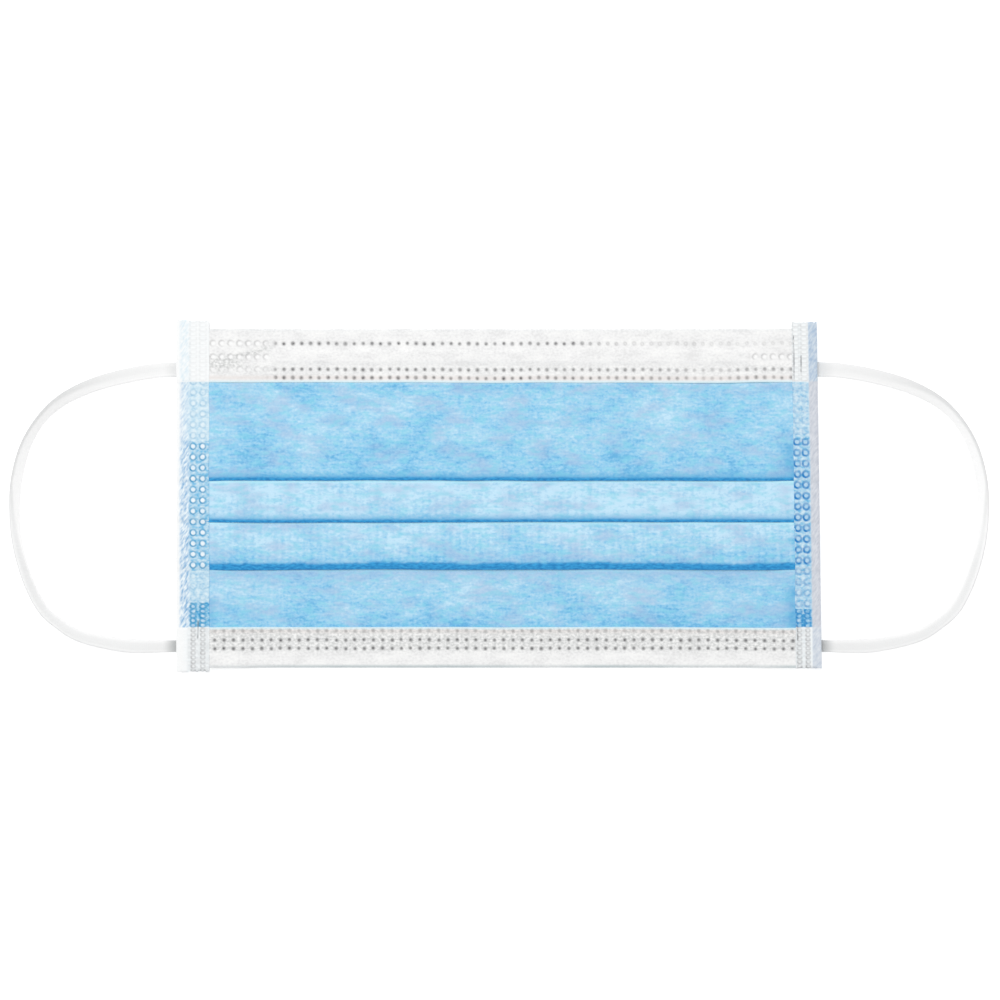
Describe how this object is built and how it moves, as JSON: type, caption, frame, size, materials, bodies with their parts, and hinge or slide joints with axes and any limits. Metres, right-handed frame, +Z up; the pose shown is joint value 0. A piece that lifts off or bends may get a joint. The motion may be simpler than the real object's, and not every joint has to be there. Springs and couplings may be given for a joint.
{
  "type": "disposable face mask",
  "caption": "Flat pleated face mask: a blue pleated filter panel with white turned hems, folded side bindings and flat elastic ear loops.",
  "frame": {"origin": "on the surface that the mask lies on, under the middle of the mask", "axes": "+X to the right-hand ear loop seen from above, +Y to the nose edge, +Z up out of the blue outer side"},
  "size_m": [0.267, 0.0956, 0.005],
  "materials": {
    "blue_cloth": "matte spunbond polypropylene",
    "white_cloth": "matte spunbond polypropylene",
    "binding_tape": "thin spunbond tape, ultrasonically welded",
    "elastic": "fine knitted elastic"
  },
  "bodies": {
    "root": {"pleated_panel": "blue_cloth", "nose_hem": "white_cloth", "chin_hem": "white_cloth", "side_binding_left": "binding_tape", "side_binding_right": "binding_tape", "ear_loop_left": "elastic", "ear_loop_right": "elastic"}
  },
  "joints": []
}
